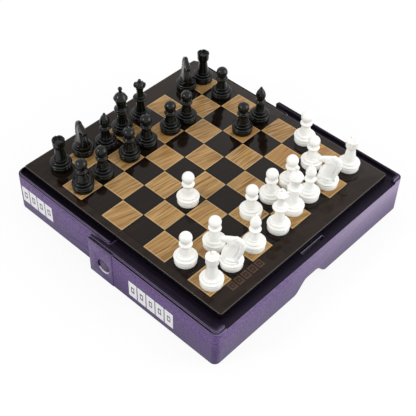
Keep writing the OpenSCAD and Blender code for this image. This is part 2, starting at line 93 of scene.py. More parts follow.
class Paint:
    """One procedural material: short calls that add nodes and link them."""

    def __init__(self, name, **surface):
        self.material = bpy.data.materials.new(name)
        self.material.use_nodes = True
        self.nodes = self.material.node_tree.nodes
        self.links = self.material.node_tree.links
        self.shader = self.nodes["Principled BSDF"]
        for key, value in surface.items():
            self.shader.inputs[key.replace("_", " ")].default_value = value
        self.place = self.nodes.new("ShaderNodeTexCoord").outputs["Object"]
        self.normal = self.nodes.new("ShaderNodeNewGeometry").outputs["Normal"]

    def put(self, socket, value):
        """Links a socket to another node's output, or sets it to a plain value."""
        if isinstance(value, bpy.types.NodeSocket):
            self.links.new(value, socket)
        else:
            socket.default_value = value

    def math(self, operation, *values):
        """Result of one sum on plain values."""
        node = self.nodes.new("ShaderNodeMath")
        node.operation = operation
        for socket, value in zip(node.inputs, values):
            self.put(socket, value)
        return node.outputs[0]

    def away(self, value, middle):
        """Distance of a value from a middle, to either side."""
        return self.math("ABSOLUTE", self.math("SUBTRACT", value, middle))

    def less(self, value, limit):
        """Mask that is 1 where a value is less than a limit."""
        return self.math("LESS_THAN", value, limit)

    def times(self, *masks):
        """Product of two or more masks."""
        product = masks[0]
        for mask in masks[1:]:
            product = self.math("MULTIPLY", product, mask)
        return product

    def vector(self, operation, a, b):
        """Result of one sum on two vectors."""
        node = self.nodes.new("ShaderNodeVectorMath")
        node.operation = operation
        self.put(node.inputs[0], a)
        self.put(node.inputs[1], b)
        return node.outputs["Value" if operation == "DISTANCE" else "Vector"]

    def split(self, vector):
        """The three parts of a vector."""
        node = self.nodes.new("ShaderNodeSeparateXYZ")
        self.put(node.inputs[0], vector)
        return node.outputs

    def join(self, x, y, z):
        """Vector from its three parts."""
        node = self.nodes.new("ShaderNodeCombineXYZ")
        for socket, value in zip(node.inputs, (x, y, z)):
            self.put(socket, value)
        return node.outputs[0]

    def noise(self, place, scale, detail=3.0, roughness=0.5):
        """Noise from 0 to 1; scale is in features per metre."""
        node = self.nodes.new("ShaderNodeTexNoise")
        self.put(node.inputs["Vector"], place)
        node.inputs["Scale"].default_value = scale
        node.inputs["Detail"].default_value = detail
        node.inputs["Roughness"].default_value = roughness
        return node.outputs["Fac"]

    def span(self, value, low, high, out_low=0.0, out_high=1.0):
        """Straight ramp of a value between two limits, held flat beyond them."""
        node = self.nodes.new("ShaderNodeMapRange")
        self.put(node.inputs["Value"], value)
        node.inputs["From Min"].default_value = low
        node.inputs["From Max"].default_value = high
        node.inputs["To Min"].default_value = out_low
        node.inputs["To Max"].default_value = out_high
        return node.outputs[0]

    def mix(self, share, first, second):
        """Colour between first, at share 0, and second, at share 1."""
        node = self.nodes.new("ShaderNodeMix")
        node.data_type = "RGBA"
        self.put(node.inputs[0], share)
        self.put(node.inputs[6], first)
        self.put(node.inputs[7], second)
        return node.outputs[2]

    def colour(self, value):
        """Sets the surface's colour."""
        self.put(self.shader.inputs["Base Color"], value)

    def roughness(self, value):
        """Sets the surface's roughness."""
        self.put(self.shader.inputs["Roughness"], value)

    def bump(self, height, depth):
        """Raises the surface where height is 1, by depth in millimetres."""
        node = self.nodes.new("ShaderNodeBump")
        node.inputs["Distance"].default_value = depth * MM
        self.put(node.inputs["Height"], height)
        self.put(self.shader.inputs["Normal"], node.outputs[0])


def wall_colour(paint, patches, x, height, on_end):
    """Purple with fine flakes, with painted shade that darkens it towards the table. White's end
    wall has a painted sheen, a highlight, towards its right and its top."""
    broad = paint.span(paint.noise(paint.place, 45, 2.0), 0.38, 0.62)
    flakes = paint.noise(paint.place, 1050, 1.0, 0.7)
    wall = paint.mix(patches, srgb(95, 64, 128), srgb(98, 77, 125))
    wall = paint.mix(paint.math("MULTIPLY", broad, 0.35), wall, srgb(106, 80, 136))
    wall = paint.mix(paint.span(flakes, 0.5, 0.68, 0.0, 0.5), wall, srgb(140, 118, 164))
    wall = paint.mix(paint.span(flakes, 0.32, 0.48, 0.55, 0.0), wall, srgb(48, 32, 68))
    # Painted highlight: a pale sheen on white's end wall, growing towards its right and its top
    sheen_to_right = paint.span(x, -30 * MM, 48 * MM, 0.0, 0.72)
    sheen_to_top = paint.span(height, 3 * MM, 22 * MM, 0.2, 1.0)
    wall = paint.mix(paint.times(on_end, sheen_to_right, sheen_to_top), wall, srgb(172, 158, 186))
    # Painted shade: the wall darkens towards the table
    shade_to_table = paint.span(height, 1 * MM, 19 * MM, 0.9, 0.0)
    return paint.mix(shade_to_table, wall, srgb(58, 30, 92))


def deck_shade_colour(paint, patches, x, y):
    """Painted shade of the decks: near black, with painted light on the shelf at white's end
    and the darkest painted shade in the gaps beside the trays.
    """
    deck = paint.mix(patches, srgb(22, 15, 28), srgb(30, 23, 37))
    # Painted light: the shelf at white's end is lighter towards its outer edge
    shelf_light = paint.span(y, -80 * MM, -75 * MM, 0.7, 0.0)
    deck = paint.mix(shelf_light, deck, srgb(70, 62, 84))
    # Painted shade: darkest in the gaps beside the trays
    tray_gap_shade = paint.span(paint.math("ABSOLUTE", x), 72.3 * MM, 73.3 * MM, 0.75, 0.0)
    return paint.mix(tray_gap_shade, deck, srgb(4, 2, 5))


def slot_shade_mask(paint, x, y, height):
    """Painted shade inside and under the slot in the shelf, as a mask."""
    beside = paint.less(paint.away(x, SLOT_X * MM), (SLOT_LEN / 2 + 0.5) * MM)
    ahead = paint.less(paint.away(y, SLOT_Y * MM), (SLOT_W / 2 + 0.9) * MM)
    return paint.times(ahead, beside, paint.less(height, (DECK_Z - 0.4) * MM))


def pin_recess(paint, body, x, y, height):
    """Paints shade on the edge of a hinge pin's head, and a painted highlight on the lower edge
    of its recess.
    """
    pin = (0.0, SEAM_Y * MM, PIVOT_Z * MM)
    from_pin = paint.vector("DISTANCE", paint.join(0.0, y, height), pin)
    sideways = paint.math("ABSOLUTE", x)
    outside = paint.math("GREATER_THAN", sideways, (OUTER_HALF_W - 1.1) * MM)
    sunk = paint.less(sideways, (OUTER_HALF_W + 0.1) * MM)
    in_recess = paint.less(from_pin, (RECESS_R + 0.2) * MM)
    off_middle = paint.span(from_pin, 2.8 * MM, 3.1 * MM, 0.3, 0.9)
    # Painted shade: the gap between the pin's head and its recess
    gap = paint.times(outside, sunk, in_recess, off_middle)
    body = paint.mix(gap, body, srgb(18, 10, 26))
    # Painted highlight: a glint on the lower edge of the recess
    rim = paint.span(paint.away(from_pin, (RECESS_R - 0.1) * MM), 0.2 * MM, 0.4 * MM, 0.95, 0.0)
    low = paint.span(height, (PIVOT_Z - 3.2) * MM, (PIVOT_Z - 2.4) * MM, 1.0, 0.0)
    return paint.mix(paint.times(rim, low, outside), body, srgb(226, 220, 232))


def purple_plastic():
    """Pearly purple case plastic: mottled walls, painted shade on decks, lips, inner faces and
    at the table, and painted highlight lines along the edges."""
    paint = Paint("case_purple_plastic", Roughness=0.38, Sheen_Weight=0.05, Sheen_Roughness=0.4)
    patches = paint.span(paint.noise(paint.place, 230, 3.0, 0.6), 0.36, 0.64)
    x, y, height = paint.split(paint.place)
    normal_x, normal_y, normal_z = paint.split(paint.normal)
    on_end = paint.span(normal_y, -0.9, -0.4, 1.0, 0.0)
    faces_up = paint.span(normal_z, 0.6, 0.9)
    outward = paint.math("MULTIPLY_ADD", x, normal_x, paint.math("MULTIPLY", y, normal_y))
    faces_in = paint.span(outward, -0.02, -0.01, 1.0, 0.0)
    on_top = paint.span(height, (DECK_Z - 0.3) * MM, (DECK_Z - 0.1) * MM)
    # Painted shade: upward faces and inner faces above the deck are darkened
    shaded = paint.times(on_top, paint.math("MAXIMUM", faces_up, faces_in))
    # Painted shade on the lip above the shoulder
    lip_shade = paint.span(height, (SHOULDER_Z + 0.05) * MM, (SHOULDER_Z + 0.2) * MM, 0.0, 0.75)
    # dark gathers all the painted shade: decks, inner faces, the lip and the slot
    dark = paint.math("MAXIMUM", shaded, lip_shade)
    dark = paint.math("MAXIMUM", dark, slot_shade_mask(paint, x, y, height))
    wall = wall_colour(paint, patches, x, height, on_end)
    body = paint.mix(dark, wall, deck_shade_colour(paint, patches, x, y))

    # Painted shade: a soft dark line on the side walls under their top edge
    line_z = (SHOULDER_Z - 0.75) * MM
    edge_shade_line = paint.span(paint.away(height, line_z), 0.2 * MM, 0.5 * MM, 0.4, 0.0)
    edge_shade_line = paint.times(edge_shade_line, paint.math("SUBTRACT", 1.0, on_end))
    body = paint.mix(edge_shade_line, body, srgb(34, 22, 48))
    # Painted highlight: lighter lines on the slanting faces of the top edges
    slanting = paint.span(paint.away(normal_z, 0.6), 0.25, 0.35, 0.55, 0.0)
    edge_highlight = paint.times(slanting, on_top, paint.math("SUBTRACT", 1.0, faces_in))
    body = paint.mix(edge_highlight, body, srgb(150, 136, 166))
    body = pin_recess(paint, body, x, y, height)
    # Painted shade: a dark band where the walls meet the table
    table_contact_shade = paint.span(height, 0.3 * MM, 0.9 * MM, 0.6, 0.0)
    paint.colour(paint.mix(table_contact_shade, body, srgb(26, 15, 40)))
    gloss = paint.math("MULTIPLY_ADD", dark, -0.14, 0.22)
    paint.put(paint.shader.inputs["Specular IOR Level"], gloss)
    paint.bump(paint.noise(paint.place, 1300, 3.0, 0.6), 0.02)
    return paint.material


def black_tray():
    """Glossy black plastic of the raised board trays."""
    paint = Paint("tray_black_plastic", Roughness=0.2, Specular_IOR_Level=0.16)
    cloud = paint.noise(paint.place, 180, 3.0)
    paint.colour(paint.mix(cloud, srgb(8, 6, 9), srgb(18, 15, 20)))
    paint.bump(paint.noise(paint.place, 700, 2.0), 0.008)
    return paint.material


def wood_grain(paint, x, y, tone, shift):
    """Fine streaks and broad bands, turned and moved by a square's own random values."""
    sway_width, stretch = 0.0014, 0.05
    turned = paint.nodes.new("ShaderNodeVectorRotate")
    turned.rotation_type = "Z_AXIS"
    paint.put(turned.inputs["Vector"], paint.join(x, y, 0.0))
    paint.put(turned.inputs["Angle"], paint.span(tone, 0.0, 1.0, 0.02, 0.34))
    along, across, _ = paint.split(turned.outputs[0])
    sway = paint.noise(paint.join(along, across, shift), 60, 1.0)
    across = paint.math("MULTIPLY_ADD", sway, sway_width, across)
    along = paint.math("MULTIPLY", along, stretch)
    place = paint.join(along, across, paint.math("MULTIPLY", shift, 7.0))
    return paint.noise(place, 1000, 3.0, 0.55), paint.noise(place, 210, 2.0, 0.5)


def film_rim_highlight(paint, x, y):
    """Painted highlight along the cut edge of the film, as a mask."""
    beside = paint.away(x, PANEL_OFFSET * MM)
    ahead = paint.away(y, SEAM_Y * MM)
    lines = [
        paint.span(reach, (limit - 0.5) * MM, (limit - 0.3) * MM, 0.0, 0.35)
        for reach, limit in ((beside, PANEL_HALF_W), (ahead, PANEL_LEN))
    ]
    return paint.math("MAXIMUM", *lines)


def printed_board():
    """Wood-look print of the playing film: squares, border and a row of small blocks, with painted
    highlight along the film's cut edge and sides.
    """
    paint = Paint("board_print_film", Roughness=0.08, Specular_IOR_Level=0.2)
    x, y, _ = paint.split(paint.place)
    # Places on the board, counted in squares from its left and far edges
    u = paint.math("MULTIPLY_ADD", x, 1 / (SQUARE * MM), SQUARES / 2)
    v = paint.math("MULTIPLY_ADD", y, -1 / (SQUARE * MM), SQUARES / 2 + SEAM_Y / SQUARE)
    column, row = paint.math("FLOOR", u), paint.math("FLOOR", v)
    # Eight is added twice, so that the sum stays above zero on the border
    count = paint.math("ADD", paint.math("ADD", column, row), 2 * SQUARES)
    odd = paint.math("MODULO", count, 2.0)
    edges = []
    inside = 1.0
    for value in (u, v):
        part = paint.math("FRACT", value)
        edges.append(paint.math("MINIMUM", part, paint.math("SUBTRACT", 1.0, part)))
        started = paint.math("GREATER_THAN", value, 0.0)
        inside = paint.times(inside, started, paint.less(value, SQUARES))
    edge = paint.math("MINIMUM", *edges)
    cell = paint.nodes.new("ShaderNodeTexWhiteNoise")
    paint.put(cell.inputs["Vector"], paint.join(column, row, 3.0))
    tint, tone, shift = paint.split(cell.outputs["Color"])
    streaks, bands = wood_grain(paint, x, y, tone, shift)

    light = paint.mix(paint.span(streaks, 0.36, 0.6), srgb(128, 92, 50), srgb(183, 147, 95))
    light = paint.mix(paint.span(bands, 0.46, 0.68, 0.0, 0.5), light, srgb(156, 118, 72))
    light = paint.mix(paint.span(tint, 0.6, 1.0, 0.0, 0.4), light, srgb(176, 126, 64))
    light = paint.mix(paint.span(edge, 0.03, 0.06, 0.5, 0.0), light, srgb(216, 184, 136))
    dark = paint.mix(paint.span(streaks, 0.3, 0.7), srgb(17, 10, 6), srgb(30, 20, 14))
    dark = paint.mix(paint.span(edge, 0.05, 0.1, 0.8, 0.0), dark, srgb(14, 7, 4))
    squares = paint.mix(odd, dark, light)
    squares = paint.mix(paint.span(edge, 0.006, 0.016, 0.85, 0.0), squares, srgb(24, 16, 12))
    border = paint.mix(paint.span(bands, 0.35, 0.65), srgb(26, 15, 9), srgb(38, 26, 17))
    blocks = paint.times(strip_mask(paint, x, y), 0.8)
    border = paint.mix(blocks, border, srgb(84, 60, 46))

    face = paint.mix(inside, border, squares)
    face = paint.mix(film_rim_highlight(paint, x, y), face, srgb(112, 106, 102))
    # Painted highlight: the film's cut sides are painted grey
    flat = paint.span(paint.split(paint.normal)[2], 0.5, 0.9)
    paint.colour(paint.mix(flat, srgb(92, 92, 88), face))
    paint.roughness(paint.span(paint.noise(paint.place, 240, 3.0), 0.3, 0.7, 0.06, 0.11))
    paint.bump(paint.noise(paint.place, 90, 2.0), 0.02)
    return paint.material


def strip_mask(paint, x, y):
    """Row of small printed blocks on the border at white's left, as a mask."""
    middle_x, middle_y, half_length, half_height, pitch = -41.7, -66.7, 13.2, 2.6, 5.28
    block_share = 1 / 1.2
    across = paint.math("SUBTRACT", x, (middle_x - half_length) * MM)
    across = paint.math("FRACT", paint.math("MULTIPLY", across, 1 / (pitch * MM)))
    across = paint.math("MULTIPLY", paint.away(across, 0.5), 2 / block_share)
    up = paint.math("MULTIPLY", paint.away(y, middle_y * MM), 1 / (half_height * MM))
    # From 0 at the middle of a block to 1 at its edge
    reach = paint.math("MAXIMUM", across, up)
    block = paint.span(reach, 0.92, 1.0, 1.0, 0.0)
    hollow = paint.less(paint.away(reach, 0.42), 0.14)
    on_strip = paint.less(paint.away(x, middle_x * MM), half_length * MM)
    return paint.times(block, paint.math("SUBTRACT", 1.0, hollow), on_strip)


def white_piece_plastic():
    """Bright white moulded plastic of the light pieces."""
    paint = Paint(
        "white_piece_plastic",
        Roughness=0.3,
        Specular_IOR_Level=0.45,
        Subsurface_Weight=0.12,
        Subsurface_Scale=0.0015,
    )
    cloud = paint.noise(paint.place, 320, 3.0)
    paint.colour(paint.mix(cloud, srgb(244, 244, 239), srgb(251, 251, 247)))
    paint.bump(paint.noise(paint.place, 1100, 2.0), 0.008)
    return paint.material


def black_piece_plastic():
    """Satin black moulded plastic of the dark pieces, with a faint green cast."""
    paint = Paint("black_piece_plastic", Roughness=0.2, Specular_IOR_Level=0.32)
    cloud = paint.noise(paint.place, 320, 3.0)
    paint.colour(paint.mix(cloud, srgb(5, 7, 5), srgb(13, 15, 12)))
    paint.bump(paint.noise(paint.place, 1100, 2.0), 0.01)
    return paint.material


def plain_steel():
    """Bare steel of the magnets and the sheets under the film."""
    paint = Paint("steel_plain", Metallic=1.0, Roughness=0.32)
    brushed = paint.noise(paint.vector("MULTIPLY", paint.place, (0.1, 1.0, 1.0)), 1800, 2.0)
    paint.colour(paint.mix(brushed, srgb(150, 152, 155), srgb(178, 180, 183)))
    return paint.material


def white_print():
    """Matt white ink of the strips on the side walls."""
    paint = Paint("wall_strip_ink", Roughness=0.5, Specular_IOR_Level=0.3)
    wear = paint.noise(paint.place, 900, 4.0, 0.7)
    paint.colour(paint.mix(paint.span(wear, 0.3, 0.5), srgb(232, 230, 235), srgb(250, 250, 250)))
    return paint.material


PURPLE = purple_plastic()
TRAY = black_tray()
BOARD = printed_board()
WHITE = white_piece_plastic()
BLACK = black_piece_plastic()
STEEL = plain_steel()
INK = white_print()

# ---- Meshes ----

SHARP_ANGLE = math.radians(35)


def finish_mesh(name, builder, materials):
    """Mesh from a bmesh, with smooth faces and edges that stay crisp above SHARP_ANGLE."""
    mesh = bpy.data.meshes.new(name)
    bmesh.ops.recalc_face_normals(builder, faces=builder.faces)
    builder.to_mesh(mesh)
    builder.free()
    for material in materials:
        mesh.materials.append(material)
    mesh.polygons.foreach_set("use_smooth", [True] * len(mesh.polygons))
    mesh.set_sharp_from_angle(angle=SHARP_ANGLE)
    return mesh


def lathe(builder, outline, segments=72, lower=None, steel_rows=0):
    """Turns an outline of (radius, height) about Z. lower(angle, radius, height) may move a
    point down, and the first steel_rows bands get the second material."""
    rows = []
    for radius, height in outline:
        if radius < 1e-6:
            rows.append([builder.verts.new((0, 0, height * MM))])
            continue
        row = []
        for k in range(segments):
            angle = 2 * math.pi * k / segments
            drop = lower(angle, radius, height) if lower else 0.0
            x, y = radius * math.cos(angle), radius * math.sin(angle)
            row.append(builder.verts.new((x * MM, y * MM, (height - drop) * MM)))
        rows.append(row)
    for number, (low, high) in enumerate(zip(rows, rows[1:])):
        for k in range(segments):
            n = (k + 1) % segments
            if len(low) == 1:
                corners = [low[0], high[n], high[k]]
            elif len(high) == 1:
                corners = [low[k], low[n], high[0]]
            else:
                corners = [low[k], low[n], high[n], high[k]]
            face = builder.faces.new(corners)
            face.material_index = 1 if number < steel_rows else 0


def between(p, q, r, s, t):
    """One coordinate of a smooth curve at share t of the way from q to r. p comes before them,
    and s after."""
    bend = (2 * p - 5 * q + 4 * r - s) * t * t
    return 0.5 * (2 * q + (r - p) * t + bend + (3 * q - p - 3 * r + s) * t**3)


def through(points, steps=5):
    """Smooth curve through points, with the ends kept."""
    padded = [points[0], *points, points[-1]]
    curve = []
    for a, b, c, d in zip(padded, padded[1:], padded[2:], padded[3:]):
        for k in range(steps):
            curve.append(tuple(between(*values, k / steps) for values in zip(a, b, c, d)))
    return [*curve, points[-1]]


def ring(radius, low, high, steps=8):
    """Half-round band of the outline between two heights."""
    half = (high - low) / 2
    return [
        (radius - half * (1 - math.cos(a)), (low + high) / 2 + half * math.sin(a))
        for a in (math.pi * (k / steps - 0.5) for k in range(steps + 1))
    ]


def ball(radius, height, start, end, steps=12):
    """Arc of a ball about a height, between two angles in degrees."""
    return [
        (max(radius * math.cos(a), 0.0), height + radius * math.sin(a))
        for a in (math.radians(start + (end - start) * k / steps) for k in range(steps + 1))
    ]


# Bands at the start of wide_foot() that belong to the magnet
STEEL_ROWS = 3


def wide_foot():
    """Magnet, base disc, groove and the two wide rings that every piece stands on."""
    return [
        (0.0, 0.05), (MAGNET_R - 0.15, 0.05), (MAGNET_R, 0.2), (MAGNET_R + 0.02, 0.5),
        (MAGNET_R + 0.12, 0.15), (MAGNET_R + 0.25, 0.0),
        (BASE_R - 0.35, 0.0), (BASE_R - 0.1, 0.1), (BASE_R, 0.35),
        (BASE_R, 2.45), (BASE_R - 0.08, 2.72), (BASE_R - 0.28, 2.9), (BASE_R - 0.55, 2.98),
        (BASE_R - 0.62, 3.1), (BASE_R - 0.55, 3.25),
        *ring(RING_R, 3.3, 4.75),
        (5.35, 4.82),
        *ring(5.25, 4.9, 6.1),
        (4.0, 6.16),
    ]


def foot():
    """Foot of a turned piece, with its third ring."""
    return [*wide_foot(), *ring(3.7, 6.22, 7.2)]


def pawn_outline():
    """Half outline of a pawn, from the board up."""
    top = HEIGHT["pawn"]
    return [
        *foot(),
        *through([(3.4, 7.3), (3.2, 8.2), (2.9, 9.4), (2.62, 10.6), (2.5, 11.6), (2.8, 12.5)]),
        *ring(3.65, 12.7, 14.35),
        *through([(2.95, 14.45), (2.6, 14.8), (2.7, 15.2)], 3),
        *ball(3.5, top - 3.5, -40, 90, 16),
    ]


def rook_outline():
    """Half outline of a rook, from the board up."""
    top = HEIGHT["rook"]
    return [
        *foot(),
        *through([(3.6, 7.3), (3.45, 8.4), (3.15, 10.0), (2.85, 12.0), (2.65, 13.8), (2.6, 15.0)]),
        *through([(2.7, 15.4), (3.2, 15.8), (3.5, 16.4), (3.6, 17.6), (3.65, 19.4), (3.75, 20.7)],
                 3),
        (3.67, top - 0.08), (3.5, top), (2.75, top), (2.6, top - 0.12),
        (2.5, top - 1.3), (2.3, top - 1.45), (0.0, top - 1.5),
    ]


def rook_gaps(angle, radius, height):
    """Six gaps in a rook's rim, as a drop at an angle."""
    gap_depth, gap_width, spacing = 0.9, 12, 60
    if radius < 2.55 or height < HEIGHT["rook"] - 0.35:
        return 0.0
    turn = (math.degrees(angle) + gap_width / 2) % spacing
    return gap_depth if turn < gap_width else 0.0


def bishop_outline():
    """Half outline of a bishop, from the board up."""
    top = HEIGHT["bishop"]
    return [
        *foot(),
        *through([(3.2, 7.3), (2.95, 8.0), (2.6, 9.4), (2.35, 11.0), (2.3, 12.2), (2.6, 12.8)]),
        *ring(3.4, 12.9, 14.3),
        *through([(2.5, 14.4), (2.15, 14.9), (2.15, 15.5), (2.6, 16.5), (3.0, 17.7), (3.0, 18.9)]),
        *through([(2.95, 19.1), (2.5, 20.6), (1.8, 22.0), (1.1, 23.1), (0.75, 23.5)]),
        *ball(0.75, top - 0.75, -30, 90),
    ]


def queen_outline():
    """Half outline of a queen, from the board up."""
    top = HEIGHT["queen"]
    return [
        *foot(),
        *through([(3.4, 7.3), (3.2, 8.2), (2.85, 10.1), (2.55, 12.4), (2.45, 14.3), (2.6, 15.6)]),
        *ring(4.4, 15.7, 17.3),
        *ring(3.1, 17.4, 18.2),
        *through([(2.4, 18.3), (2.1, 19.7), (2.0, 21.3), (2.3, 23.2), (3.0, 24.9), (3.7, 26.0)]),
        (3.72, 26.35), (3.3, 26.6), (2.7, 26.35),
        *through([(2.5, 26.45), (2.0, 27.4), (1.2, 27.9), (0.9, 28.1)], 3),
        *ball(1.05, top - 1.05, -55, 90),
    ]


def queen_points(angle, radius, height):
    """Nine small points round a queen's crown, as a drop at an angle."""
    count, depth = 9, 0.55
    if radius < 2.6 or height < 25.8:
        return 0.0
    return depth * (0.5 + 0.5 * math.cos(count * angle))


def king_outline():
    """Half outline of a king, from the board up."""
    top = HEIGHT["king"]
    return [
        *foot(),
        *through([(3.4, 7.3), (3.15, 8.2), (2.8, 10.1), (2.5, 12.2), (2.4, 13.8), (2.5, 14.6)]),
        *ring(4.1, 14.7, 16.15),
        *ring(4.26, 16.3, 18.0),
        *through([(3.2, 18.1), (2.85, 18.9), (2.8, 20.0), (3.15, 22.0), (3.8, 23.9), (4.26, 24.8)]),
        (4.26, 25.2), (4.0, 25.6),
        *through([(3.9, 25.65), (3.3, 26.9), (2.2, 28.1), (1.2, 28.9), (1.0, 29.5)], 4),
        *ball(1.3, top - 1.3, -50, 90),
    ]


def knight_foot_outline():
    """Foot of a knight, closed by a low dome that its neck comes out of."""
    return [
        *wide_foot(),
        *through([(4.3, 6.15), (4.6, 6.6), (4.5, 7.2), (4.1, 7.7), (3.0, 8.0)], 3),
        (0.0, 8.1),
    ]


# ---- Knights ----

NOSE = [
    (5.4, 6.0), (5.6, 8.0), (5.2, 10.0), (4.6, 11.6), (3.8, 12.8), (3.0, 13.8), (2.5, 14.8),
    (2.4, 15.7), (2.8, 16.4), (3.6, 16.7), (4.6, 16.6), (5.6, 16.4), (6.3, 16.9), (6.6, 17.8),
    (6.5, 18.7), (6.0, 19.4), (5.0, 19.8), (3.5, 20.2), (1.5, 20.6), (-0.3, 21.0), (-1.2, 21.3),
    (-1.9, 21.8),
]
MANE = [
    (-2.6, 21.6), (-3.4, 21.0), (-4.8, 20.3), (-5.9, 19.2), (-6.6, 17.6), (-6.8, 15.6),
    (-6.6, 13.4), (-6.0, 11.4), (-5.3, 9.8), (-4.8, 8.4), (-4.6, 7.2), (-4.6, 6.0),
]


def polyline_reach(points, line):
    """Distance of each point to a polyline, and how far along it the nearest place is."""
    best = np.full(len(points), 1e9)
    along = np.zeros(len(points))
    start = 0.0
    for a, b in zip(line, line[1:]):
        a, b = np.array(a), np.array(b)
        step = b - a
        length = float(np.hypot(*step))
        t = np.clip(((points - a) @ step) / length**2, 0, 1)
        gap = np.hypot(*(points - (a + t[:, None] * step)).T)
        closer = gap < best
        best[closer] = gap[closer]
        along[closer] = start + t[closer] * length
        start += length
    return best, along


HEAD_HALF_T = 3.1


def head_block(outline):
    """Slab with a knight's outline, as an even mesh of small faces."""
    builder = bmesh.new()
    sides = [
        [builder.verts.new((x * MM, side * HEAD_HALF_T * MM, z * MM)) for x, z in outline]
        for side in (-1, 1)
    ]
    builder.faces.new(sides[0])
    builder.faces.new(reversed(sides[1]))
    for k in range(len(outline)):
        n = (k + 1) % len(outline)
        builder.faces.new([sides[0][n], sides[0][k], sides[1][k], sides[1][n]])
    bmesh.ops.recalc_face_normals(builder, faces=builder.faces)
    mesh = bpy.data.meshes.new("knight_block")
    builder.to_mesh(mesh)
    builder.free()
    block = bpy.data.objects.new("knight_block", mesh)
    bpy.context.scene.collection.objects.link(block)
    remesh = block.modifiers.new("even", "REMESH")
    remesh.mode = "VOXEL"
    remesh.voxel_size = 0.3 * MM
    evaluated = block.evaluated_get(bpy.context.evaluated_depsgraph_get())
    even = bpy.data.meshes.new_from_object(evaluated)
    bpy.data.objects.remove(block)
    return even


def spot(x, z, place, size, height):
    """Round bump on a knight's cheek."""
    return height * np.exp(-(((x - place[0]) ** 2 + (z - place[1]) ** 2) / size**2))


def groove(flat, line, width, depth):
    """Groove along a polyline on a knight's cheek."""
    reach, _ = polyline_reach(flat, line)
    return depth * np.exp(-((reach / width) ** 2))


def head_relief(x, z, flat, mane, locks):
    """Height of the carving on a knight's cheek: mane, jaw, eye, nostril, mouth and bridle."""
    eye, neck_top, seam_width = (1.4, 19.2), 8.4, 0.3
    relief = np.zeros(len(x))
    on_mane = np.clip((2.5 - mane) / 0.5, 0, 1) * (z > neck_top)
    relief -= 0.3 * locks * on_mane
    relief -= 0.45 * np.exp(-(((mane - 2.7) / seam_width) ** 2)) * (z > neck_top)
    relief += spot(x, z, (0.0, 17.4), 1.7, 0.35)
    relief += spot(x, z, eye, 0.45, 0.4) - spot(x, z, eye, 0.95, 0.28)
    relief -= spot(x, z, (5.8, 18.5), 0.38, 0.35)
    relief -= groove(flat, [(7.0, 17.4), (5.8, 17.4), (4.6, 17.8)], 0.28, 0.4)
    relief -= groove(flat, [(3.5, 16.2), (3.2, 18.0), (3.4, 20.8)], 0.32, 0.16)
    return relief


def knight_head():
    """Vertices and faces of a knight's head, nose towards +X: a rounded slab with a mane, a
    cheek, an eye, a mouth and two ears."""
    outline = through(NOSE, 3)[:-1] + through(MANE, 3)
    even = head_block(outline)
    co = np.empty(len(even.vertices) * 3)
    even.vertices.foreach_get("co", co)
    x, y, z = co.reshape(-1, 3).T / MM
    flat = np.stack([x, z], 1)
    rim, _ = polyline_reach(flat, [*outline, outline[0]])
    rim = np.where(z < 7.5, np.maximum(rim, 2.0), rim)
    mane, mane_along = polyline_reach(flat, MANE)
    lock_spacing = 2.1
    locks = 0.5 + 0.5 * np.cos(2 * np.pi * mane_along / lock_spacing)

    half = np.interp(z, [6.0, 9.0, 12.0, 15.0, 18.0, 21.8], [3.6, 3.0, 2.4, 2.0, 1.7, 1.4])
    half = half * np.interp(x, [2.0, 6.6], [1.0, 0.84])
    share = np.clip(rim / 1.7, 0, 1)
    rounded = half * (0.38 + 0.62 * np.sqrt(1 - (1 - share) ** 2))
    y = y / HEAD_HALF_T
    rounded = rounded + head_relief(x, z, flat, mane, locks) * np.clip(share * 1.6, 0, 1)
    crest = np.exp(-((y * rounded / 0.45) ** 2))
    near_ears = np.clip((z - 20.2) / 1.2, 0, 1) * np.exp(-(((x + 2.1) / 1.2) ** 2))
    z = z - 1.0 * crest * near_ears
    edge_locks = np.clip(1 - mane / 0.6, 0, 1) * (0.5 - locks) * 0.3 * (z > 8.8)
    x = x - edge_locks * np.clip(-x / 6, 0, 1)
    y = y * rounded
    even.vertices.foreach_set("co", (np.stack([x, y, z], 1) * MM).ravel())
    smooth = bmesh.new()
    smooth.from_mesh(even)
    bpy.data.meshes.remove(even)
    for _ in range(2):
        bmesh.ops.smooth_vert(smooth, verts=smooth.verts, factor=0.35)
    return smooth


# ---- The pieces ----


def piece_mesh(kind, material):
    """Mesh of one kind of piece in one colour, standing on z = 0 about the Z axis."""
    name = f"{kind}_{material.name}"
    if kind == "knight":
        builder = knight_head()
        lathe(builder, knight_foot_outline(), steel_rows=STEEL_ROWS)
        return finish_mesh(name, builder, [material, STEEL])
    builder = bmesh.new()
    outline = {
        "pawn": pawn_outline,
        "rook": rook_outline,
        "bishop": bishop_outline,
        "queen": queen_outline,
        "king": king_outline,
    }[kind]()
    lower = {"rook": rook_gaps, "queen": queen_points}.get(kind)
    lathe(builder, outline, segments=90 if lower else 64, lower=lower, steel_rows=STEEL_ROWS)
    return finish_mesh(name, builder, [material, STEEL])


def seat(node):
    """Middle of a piece's base disc on the board, in metres."""
    disc_height = 2.0
    co = np.array([v.co for v in frame["nodes"][node].data.vertices])
    base = co[co[:, 2] < co[:, 2].min() + disc_height * MM]
    middle = (base.min(0) + base.max(0)) / 2
    return Vector((middle[0], middle[1], co[:, 2].min()))


bodies = frame["record"]["behaviour"]["bodies"]
meshes = {}
for body, members in bodies.items():
    for node in members:
        side, kind = (node.split("_") + [""])[:2]
        if kind not in HEIGHT:
            continue
        material = WHITE if side == "white" else BLACK
        if (side, kind) not in meshes:
            meshes[side, kind] = piece_mesh(kind, material)
        piece = bpy.data.objects.new(f"{node}_moulded", meshes[side, kind])
        bpy.context.scene.collection.objects.link(piece)
        piece.location = seat(node)
        piece.rotation_euler.z = math.radians(KNIGHT_TURN.get(node, 0))
        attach(piece, body)
        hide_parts(node)

# ---- The case ----


